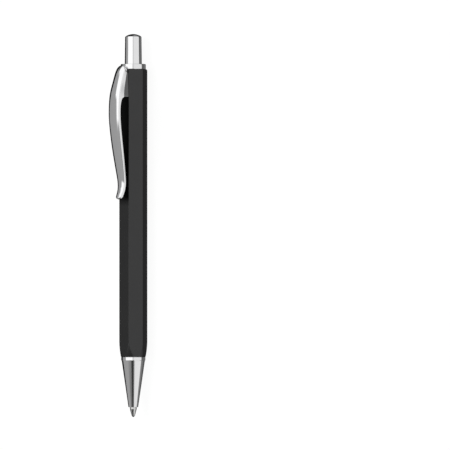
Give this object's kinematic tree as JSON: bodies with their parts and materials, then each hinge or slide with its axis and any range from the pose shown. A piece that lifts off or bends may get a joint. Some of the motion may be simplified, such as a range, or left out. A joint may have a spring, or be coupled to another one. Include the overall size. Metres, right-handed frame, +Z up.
{
  "type": "ballpoint pen",
  "caption": "Slim six-sided retractable ballpoint pen with a push button, a chromed nose cone, a collar and a bowed pocket clip.",
  "frame": {"origin": "on the surface that the pen lies on, under its axis, halfway along its length", "axes": "+X along the pen from the writing tip to the button, +Z up through the clip, +Y across the clip"},
  "size_m": [0.14, 0.0104, 0.0146],
  "materials": {
    "black_barrel": "satin black lacquer on metal",
    "chrome_trim": "polished chrome plating",
    "white_plastic": "moulded acetal",
    "spring_steel": "drawn wire",
    "ball_carbide": "ground carbide",
    "tip_steel": "turned steel",
    "refill_brass": "turned brass",
    "refill_steel": "drawn tube",
    "ink": "ink paste",
    "dark_plastic": "moulded plastic"
  },
  "bodies": {
    "casing": {"barrel": "black_barrel", "nose_cone": "chrome_trim", "collar": "chrome_trim", "guide_sleeve": "white_plastic", "return_spring": "spring_steel"},
    "button": {"button": "chrome_trim", "plunger": "white_plastic"},
    "refill": {"writing_ball": "ball_carbide", "refill_tip": "tip_steel", "refill_nose": "refill_brass", "refill_tube": "refill_steel", "ink_column": "ink", "refill_plug": "dark_plastic", "cam_rotor": "white_plastic"},
    "clip": {"clip": "chrome_trim"}
  },
  "joints": [
    {"name": "button_press", "type": "slide", "parent": "casing", "child": "button", "axis": [-1, 0, 0], "range_m": [-0.005, 0.0015], "stiffness_N_per_m": 150},
    {"name": "refill_feed", "type": "slide", "parent": "casing", "child": "refill", "axis": [-1, 0, 0], "range_m": [-0.005, 0.0015], "stiffness_N_per_m": 150, "deforming": ["return_spring"]},
    {"name": "clip_lift", "type": "hinge", "parent": "casing", "child": "clip", "pos_m": [0.0564, 0, 0.0091], "axis": [0, 1, 0], "range_deg": [0, 2.3], "stiffness_Nm_per_rad": 2}
  ],
  "couplings": [
    {"joint": "refill_feed", "follows": "button_press", "ratio": 1}
  ]
}
